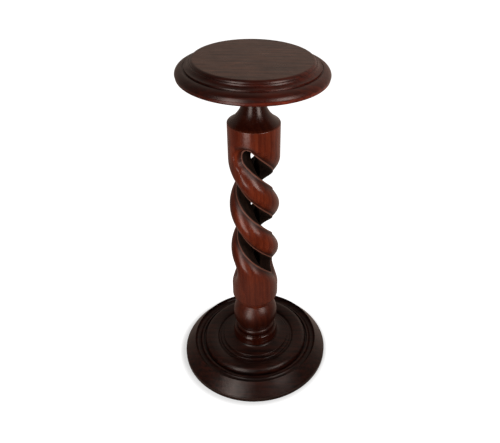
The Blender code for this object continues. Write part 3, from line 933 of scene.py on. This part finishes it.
class Wood(Nodes):
    """A stained and polished mahogany, built up from its grain to its wear and the shade painted into its
    creases.
    """

    def __init__(self, name, look, grain_axis):
        self.look = look
        self.material, nodes, self.shader = new_material(name)
        super().__init__(nodes.tree)
        self.place = self.coordinates("Object")
        stretch = [1.0, 1.0, 1.0]
        stretch[grain_axis] = look.grain_stretch
        along = self.node("ShaderNodeMapping", {"Vector": self.place, "Scale": stretch})
        self.along = along.outputs["Vector"]
        self.pointed = self.node("ShaderNodeNewGeometry").outputs["Pointiness"]
        parts = self.parts(self.place)
        self.across, self.height = parts["X"], parts["Z"]
        squares = [self.times(parts[axis], parts[axis]) for axis in ("X", "Y")]
        self.radius = self.sums("SQRT", self.sums("ADD", *squares), 0.0)

    def rings(self):
        """Growth rings, as wavering planes of darker wood through the plank."""
        links = {
            "Vector": self.along,
            "Scale": WAVE_PERIOD / self.look.ring_width,
            "Distortion": 9.0,
            "Detail": 2.0,
            "Detail Scale": 0.35,
            "Detail Roughness": 0.6,
        }
        options = {"wave_type": "BANDS", "bands_direction": "DIAGONAL", "wave_profile": "SAW"}
        return self.node("ShaderNodeTexWave", links, **options).outputs["Fac"]

    def grain(self, dark, light):
        """The wood's own colour: broad and fine streaks, growth rings, pores and uneven stain."""
        look = self.look
        streaks = self.noise(self.along, look.streak_width, detail=5.0, roughness=0.62, distortion=0.4)
        fibres = self.noise(self.along, look.fibre_width, roughness=0.65)
        pores = self.noise(self.along, look.pore_width, detail=1.0)
        clouds = self.noise(self.place, look.cloud_size, detail=4.0, roughness=0.55, distortion=0.6)
        figure = self.weighed((streaks, STREAK_SHARE), (fibres, FIBRE_SHARE), (self.rings(), RING_SHARE))
        tint = self.between(self.span(figure, *FIGURE_RANGE), (*dark, 1.0), (*light, 1.0))
        self.pores = self.span(pores, *PORE_RANGE)
        tint = self.darkened(tint, self.pores, PORE_DARKNESS)
        return self.toned(tint, self.span(clouds, *CLOUD_RANGE, *CLOUD_TONES))

    def worn_and_crease_shaded(self, tint):
        """Paler where edges are rubbed, and darker in the creases, where shade is painted in."""
        patches = self.noise(self.place, PATCH_SIZE, detail=4.0, roughness=0.65)
        rubbed = self.times(self.span(self.pointed, *RUBBED_RANGE), self.span(patches, *PATCH_RANGE))
        # Painted shade: creases, where pointiness is low, are darkened.
        painted_crease_shade = self.span(self.pointed, *CREASE_SHADE_RANGE, self.look.crease_shading, 0.0)
        tint = self.toned(tint, self.sums("MULTIPLY_ADD", rubbed, self.look.wear, 1.0))
        return self.darkened(tint, painted_crease_shade)

    def polish(self, tint, roughness, dull=0.0):
        """Sets the colour, the uneven gloss and the fine relief on the shader."""
        smears = self.noise(self.place, SMEAR_SIZE, detail=5.0, roughness=0.62)
        uneven = self.weighed((smears, SMEAR_SHARE), (self.pores, PORE_DULLNESS), (dull, 1.0))
        ripples = self.noise(self.place, self.look.ripple_size, detail=2.0, roughness=0.45)
        relief = self.relief(ripples, self.look.ripple_depth, RIPPLE_STRENGTH)
        relief = self.relief(self.pores, -PORE_DEPTH, PORE_STRENGTH, Normal=relief)
        dullness = self.sums("ADD", uneven, roughness - SMEAR_SHARE / 2)
        self.put(self.shader, {"Base Color": tint, "Roughness": dullness, "Normal": relief})
        return self.material


def top_wood(look, face_radius, band_top):
    """The face is greyer and paler than the red mouldings round it; the mouldings carry painted shade on
    the left and painted light on the right, and the lowest band is painted lighter.
    """
    wood = Wood("top_mahogany", look, X_AXIS)
    face = wood.grain(look.top_dark, look.top_light)
    edge = wood.grain(look.edge_dark, look.edge_light)
    # Painted shade on the left of the mouldings and painted light on the right.
    edge = wood.toned(edge, wood.span(wood.across, *LEFT_TO_RIGHT, LEFT_SHADE_TONE, RIGHT_LIGHT_TONE))
    on_edge = wood.span(wood.radius, face_radius - BLEND, face_radius + 3 * BLEND)
    on_edge = wood.most(on_edge, wood.sums("LESS_THAN", wood.height, TOP_HIGH.z - 2 * BLEND))
    tint = wood.worn_and_crease_shaded(wood.between(on_edge, face, edge))
    # Painted light: the lowest band under the ovolo is made paler.
    band = wood.span(wood.height, band_top - BLEND, band_top + 2 * BLEND, BAND_LIGHT_TONE, 1.0)
    return wood.polish(wood.toned(tint, band), look.top_roughness)


def base_wood(look, toe_top):
    """The base is nearly black, with a speckled painted highlight of the left light on its bevel, and
    paler where feet have rubbed its rim.
    """
    wood = Wood("base_mahogany", look, X_AXIS)
    wood.put(wood.shader, {"Specular IOR Level": look.base_gloss})
    tint = wood.worn_and_crease_shaded(wood.grain(look.base_dark, look.base_light))
    specks = wood.span(wood.noise(wood.place, SPECK_SIZE, roughness=0.7), *SPECK_RANGE)
    # Painted highlight: a speckled pale patch on the bevel where the left light mirrors.
    dust_and_sheen = wood.span(wood.away(wood.place, SHEEN_PLACE), *SHEEN_REACH, SHEEN_SHARE, 0.0)
    toe = wood.span(wood.height, toe_top - BLEND, toe_top + BLEND, TOE_DUST, 0.0)
    tint = wood.between(wood.most(wood.times(dust_and_sheen, specks), toe), tint, (*look.dust_and_sheen, 1.0))
    return wood.polish(tint, look.base_roughness)


def column_wood(look, levels, plan):
    """The column's stain is rich on the drums and strands, and darker at its neck and foot, partly stain
    and partly painted shade. The strands get painted shade beside the slots and on their left, and the
    slots' lips and the drum's lip are paler, as wear with painted highlight.
    """
    wood = Wood("column_mahogany", look, Z_AXIS)
    arris = plan.twist.arris_radius
    low, high = levels.twist_base - CARVED_MARGIN, levels.twist_top + CARVED_MARGIN
    carved = wood.inside(wood.height, low, high)
    beside = shade_beside_slots(wood, plan, carved)
    # The tone by height includes painted shade, and the wear adds painted shade in creases.
    tint = wood.worn_and_crease_shaded(stained(wood, levels))
    # Painted shade beside the slots and on the strands' left.
    tint = wood.darkened(tint, wood.most(beside, shade_left_of_strands(wood, levels)))
    # Wear with painted highlight on the slots' lips and the drum's lip.
    rubbed = wood.most(lit_rubbed_rim(wood, arris, carved), lit_rubbed_lip(wood, levels.lip, plan.radius))
    tint = wood.between(rubbed, tint, (*look.rim, 1.0))
    # Near black deep in the slots: stain with painted shade.
    deep = wood.times(carved, wood.span(wood.radius, arris - DEEP_START, arris - DEEP_END, 1.0, 0.0))
    tint = wood.between(deep, tint, (*look.slot_stain_and_shade, 1.0))
    foot = foot_dullness(wood, levels)
    dull = wood.weighed((deep, DEEP_DULLNESS), (beside, FLANK_DULLNESS), (foot, 1.0))
    return wood.polish(tint, look.column_roughness, dull)


def stained(wood, levels):
    """The column's grain with its tone by height, darker at the neck, shoulder, ball and foot as stain
    together with painted shade, and the bloom on the lower drum.
    """
    # Tones by height: stain, with painted shade under the top, on the upward-facing shoulder and on the
    # ball and foot.
    stain = [
        (levels.foot_base, 0.20),
        (levels.collar_base, 0.17),
        (levels.ball_base, 0.20),
        (levels.ball_middle, 0.22),
        (levels.throat_base, 0.50),
        (levels.shaft_base, 0.85),
        (levels.drum_base, 0.95),
        (levels.twist_base, 1.0),
        (levels.lip - BLEND, 1.0),
        (levels.lip + BLEND, 0.15),
        (levels.neck_base, 0.20),
        (levels.capital_base, 0.22),
        (levels.column_top, 0.50),
    ]
    foot, tall = levels.foot_base, levels.column_top - levels.foot_base
    height = wood.sums("DIVIDE", wood.sums("SUBTRACT", wood.height, foot), tall)
    stops = [((level - foot) / tall, tone) for level, tone in stain]
    grain = wood.grain(wood.look.column_dark, wood.look.column_light)
    tint = wood.toned(grain, wood.steps(height, stops))
    start, end = (levels.twist_base + reach for reach in BLOOM_REACH)
    bloom = wood.span(wood.height, start, end, BLOOM_SHARE, 0.0)
    bloom = wood.times(bloom, wood.span(wood.height, levels.throat_base, levels.drum_base))
    return wood.between(bloom, tint, (*wood.look.bloom, 1.0))


def shade_beside_slots(wood, plan, carved):
    """How much painted shade darkens the strands beside the slots, and the drum above each slot's start.
    """
    arris = plan.twist.arris_radius
    beside = wood.span(wood.radius, arris + BLEND, arris + FLANK_WIDTH, FLANK_SHADE, 0.0)
    beside = wood.times(carved, beside)
    dished = plan.half_width + plan.twist.start_round
    above = wood.span(wood.height, *(plan.slot_top + rise for rise in DISH_RISE))
    for number in range(plan.twist.slots):
        far = wood.away(wood.place, plan.slot_start(number))
        painted_dish_shade = wood.span(far, dished - BLEND, dished + DISH_WIDTH, DISH_SHADE, 0.0)
        beside = wood.most(beside, wood.times(painted_dish_shade, above))
    return beside


def shade_left_of_strands(wood, levels):
    """How much painted shade darkens the strands on their left, fading out towards both drums."""
    low, high = levels.twist_base, levels.twist_top
    left = wood.span(wood.across, *LEFT_REACH, STRAND_LEFT_SHADE, 0.0)
    left = wood.times(left, wood.span(wood.height, low + LEFT_FOOT[0], low + LEFT_FOOT[1]))
    return wood.times(left, wood.span(wood.height, high - LEFT_FADE, high, 1.0, 0.0))


def lit_rubbed_rim(wood, arris, carved):
    """How much paler the slots' flat lips are, as wear with painted highlight."""
    return wood.times(carved, wood.span(wood.radius, arris + RIM_START, arris + RIM_END, RIM_SHARE, 0.0))


def lit_rubbed_lip(wood, lip, drum):
    """How much paler the upper drum's edge is, as wear with painted highlight."""
    outside = wood.sums("GREATER_THAN", wood.radius, drum - LIP_WIDTH)
    low = lip - LIP_HEIGHT
    return wood.times(outside, wood.span(wood.height, low, low + BLEND, 0.0, LIP_SHARE))


def foot_dullness(wood, levels):
    """How much duller the ball is than the drums, and how much glossier the foot."""
    dull = wood.span(wood.height, levels.throat_base, levels.drum_base, wood.look.foot_dullness, 0.0)
    dull = wood.times(dull, wood.span(wood.height, levels.collar_base, levels.ball_base))
    start = levels.foot_base + FOOT_GLOSS_START
    foot = wood.span(wood.height, start, levels.collar_base, -FOOT_GLOSS, 0.0)
    return wood.sums("ADD", dull, foot)


def slot_wood(look):
    """The slots' walls were stained but never polished, and their near black is partly painted shade."""
    wood = Wood("slot_mahogany", look, Z_AXIS)
    wood.put(wood.shader, {"Specular IOR Level": SLOT_GLOSS})
    tint = wood.grain(SLOT_DARK * look.slot_stain_and_shade, SLOT_LIGHT * look.slot_stain_and_shade)
    return wood.polish(tint, SLOT_ROUGHNESS)


# Studio

PALE = {"Base Color": (0.66, 0.80, 0.88, 1.0), "Roughness": 0.9}
DARK = {"Base Color": (0.01, 0.01, 0.01, 1.0), "Roughness": 1.0}
WHITE = (1.0, 1.0, 1.0, 1.0)
SHADE_MIDDLE = (-0.004, -0.001, 0.0)
ROOM_LEFT_TO_RIGHT, ROOM_FRONT_TO_BACK = (-0.4, 0.9), (-0.3, 0.8)


def beside_stand(distance, azimuth, middle):
    """Where a thing stands, at an azimuth round from the front, and how it turns to face the stand."""
    place = (distance * math.sin(azimuth), -distance * math.cos(azimuth), middle)
    return {"location": place, "rotation": (math.pi / 2, 0.0, azimuth)}


# Operators


class PLANTSTAND_OT_top(Operator):
    """Turn the moulded round top"""

    bl_idname = "plantstand.top"
    bl_label = "Turn the Top"

    def execute(self, context):
        stand = settings(context)
        outline = top_outline(stand.top, stand.fineness.curve_steps)
        top = turned("moulded_top", outline, stand.fineness.board_steps, stand.fineness.ease)
        sizes = stand.top
        mouldings = (
            sizes.ovolo_width + sizes.quirk_width + sizes.cove_width + sizes.step_width + sizes.bead_width
        )
        wood = top_wood(stand.finish, sizes.radius - mouldings, TOP_LOW.z + sizes.edge_height)
        finish_piece(top, "top", "top_wood", wood)
        return {"FINISHED"}


class PLANTSTAND_OT_base(Operator):
    """Turn the moulded round base"""

    bl_idname = "plantstand.base"
    bl_label = "Turn the Base"

    def execute(self, context):
        stand = settings(context)
        outline = base_outline(stand.base, stand.fineness.curve_steps)
        base = turned("moulded_base", outline, stand.fineness.board_steps, stand.fineness.ease)
        finish_piece(base, "base", "base_wood", base_wood(stand.finish, stand.base.toe_height))
        return {"FINISHED"}


class PLANTSTAND_OT_column(Operator):
    """Turn the column, carve its strands and open its slots"""

    bl_idname = "plantstand.column"
    bl_label = "Carve the Column"

    def execute(self, context):
        stand = settings(context)
        sizes, fineness = stand.column, stand.fineness
        levels = ColumnLevels(sizes)
        plan = TwistPlan(stand.twist, sizes, levels)
        outline = self.outline(sizes, levels, plan, fineness)
        column = turned("twisted_column", outline, plan.columns, fineness.ease)
        cut_slots(column, plan)
        twist_grid(column, plan)
        add_slot_walls(column, plan)
        join(column, self.hollow(plan))
        ease_arrises(column, plan)
        wood = column_wood(stand.finish, levels, plan)
        finish_piece(column, "column", "column_wood", wood, slot_wood(stand.finish))
        self.darken_slots(column, levels, plan)
        return {"FINISHED"}

    def darken_slots(self, column, levels, plan):
        """Gives the slots' walls and the hollow the unpolished wood, near black as stain with painted
        shade.
        """
        for face in column.data.polygons:
            x, y, height = face.center
            deep = math.hypot(x, y) < plan.twist.arris_radius - SLOT_MARGIN
            if deep and levels.twist_base < height < levels.twist_top:
                face.material_index = 1

    def outline(self, sizes, levels, plan, fineness):
        radius, lip, steps = sizes.drum_radius, sizes.lip_round, fineness.curve_steps
        rows = plan.row_heights(-plan.twist.end_rows, plan.twist.rows + plan.twist.end_rows)
        return [
            *neck_outline(sizes, levels, steps, fineness.ball_steps),
            *level_first((radius - lip, levels.lip), (radius, levels.lip - lip), steps // 2),
            *[(radius, height) for height in rows],
            *upright_first(
                (radius, levels.drum_base + sizes.drum_round),
                (radius - sizes.drum_round, levels.drum_base),
                steps,
            ),
            *foot_outline(sizes, levels, steps, fineness.ball_steps),
        ]

    def hollow(self, plan):
        """The open middle of the twist, as a tube with the slots cut out of its side."""
        rows = plan.row_heights(-SPARE_ROWS, plan.twist.rows + SPARE_ROWS)
        outline = [(plan.twist.hollow_radius, height) for height in rows]
        tube = turned("hollow", outline, plan.columns, MERGE_DISTANCE)
        cut_slots(tube, plan)
        twist_grid(tube, plan, plan.twist.hollow_radius)
        return tube


class PLANTSTAND_OT_studio(Operator):
    """Set up the pale floor, the soft lights and the camera"""

    bl_idname = "plantstand.studio"
    bl_label = "Set Up the Studio"

    def execute(self, context):
        studio = settings(context).studio
        self.floor(studio)
        self.surroundings(context, studio)
        left = (studio.left_azimuth, studio.left_foot, studio.left_power)
        right = (studio.right_azimuth, studio.right_foot, studio.right_power)
        self.tall_light("left_light", studio, *left)
        self.tall_light("right_light", studio, *right)
        self.card(studio)
        self.camera(context, studio)
        return {"FINISHED"}

    def floor(self, studio):
        """A floor that the polish doesn't mirror, with a narrow shade round the base."""
        material, nodes, shader = new_material("pale_floor")
        edge, far = BASE_HIGH.x, nodes.away(nodes.coordinates("Object"), SHADE_MIDDLE)
        glow = nodes.span(far, edge, edge + studio.shade_width, studio.floor_shade, studio.floor_glow)
        nodes.put(shader, {**PALE, "Emission Color": WHITE, "Emission Strength": glow})
        floor = add(bpy.ops.mesh.primitive_plane_add, "floor", size=studio.floor_size)
        floor.data.materials.append(material)
        floor.visible_glossy = floor.visible_diffuse = floor.visible_shadow = False

    def surroundings(self, context, studio):
        """A dim room, brighter behind the stand than before it."""
        context.scene.view_settings.view_transform = "Standard"
        world = bpy.data.worlds.new("studio")
        context.scene.world = world
        world.use_nodes = True
        nodes = Nodes(world.node_tree)
        way = nodes.parts(nodes.coordinates("Generated"))
        right = nodes.span(way["X"], *ROOM_LEFT_TO_RIGHT, 0.0, studio.right_glow, "LINEAR")
        behind = nodes.sums("ADD", right, studio.back_glow)
        glow = nodes.span(way["Y"], *ROOM_FRONT_TO_BACK, studio.front_glow, behind, "LINEAR")
        background = world.node_tree.nodes["Background"]
        nodes.put(background, {"Color": (*studio.room_tint, 1.0), "Strength": glow})

    def card(self, studio):
        """A dark card that keeps the right light off the base and the foot."""
        place = beside_stand(studio.card_distance, studio.right_azimuth, studio.card_height / 2)
        card = add(bpy.ops.mesh.primitive_plane_add, "dark_card", size=1.0, **place)
        card.scale = (studio.card_width, studio.card_height, 1.0)
        material, nodes, shader = new_material("dark_card")
        nodes.put(shader, DARK)
        card.data.materials.append(material)
        card.visible_camera = False

    def tall_light(self, name, studio, azimuth, foot, power):
        """A tall upright light that faces the stand."""
        tall = studio.light_top - foot
        place = beside_stand(studio.light_distance, azimuth, foot + tall / 2)
        light = add(bpy.ops.object.light_add, name, type="AREA", **place)
        light.visible_camera = False
        light.data.shape = "RECTANGLE"
        light.data.size = studio.light_width
        light.data.size_y = tall
        light.data.energy = power * studio.light_width * tall
        light.data.color = studio.light_tint

    def camera(self, context, studio):
        turn = (
            Matrix.Rotation(studio.camera_heading, 4, "Z")
            @ Matrix.Rotation(studio.camera_tilt, 4, "X")
            @ Matrix.Rotation(studio.camera_roll, 4, "Z")
        )
        place = {"location": studio.camera_place, "rotation": turn.to_euler()}
        camera = add(bpy.ops.object.camera_add, "camera", **place)
        camera.data.lens = studio.lens
        camera.data.shift_x = studio.shift
        context.scene.camera = camera


class PLANTSTAND_PT_panel(Panel):
    """Sizes, colours and steps of the plant stand"""

    bl_label = "Plant Stand"
    bl_idname = "PLANTSTAND_PT_panel"
    bl_space_type = "VIEW_3D"
    bl_region_type = "UI"
    bl_category = "Plant Stand"

    def draw(self, context):
        for operator in OPERATORS:
            self.layout.operator(operator.bl_idname)
        for group in PlantStand.__annotations__:
            box = self.layout.box()
            box.label(text=group.capitalize())
            sizes = getattr(settings(context), group)
            for name in type(sizes).__annotations__:
                box.prop(sizes, name)


SIZE_GROUPS = (TopSizes, BaseSizes, ColumnSizes, TwistSizes, Fineness, Finish, Studio, PlantStand)
OPERATORS = (PLANTSTAND_OT_top, PLANTSTAND_OT_base, PLANTSTAND_OT_column, PLANTSTAND_OT_studio)
CLASSES = (*SIZE_GROUPS, *OPERATORS, PLANTSTAND_PT_panel)


def register():
    for item in CLASSES:
        bpy.utils.register_class(item)
    bpy.types.Scene.plant_stand = PointerProperty(type=PlantStand)


def unregister():
    del bpy.types.Scene.plant_stand
    for item in reversed(CLASSES):
        bpy.utils.unregister_class(item)


def main():
    register()
    bpy.ops.plantstand.top()
    bpy.ops.plantstand.base()
    bpy.ops.plantstand.column()
    bpy.ops.plantstand.studio()


if __name__ == "__main__":
    main()
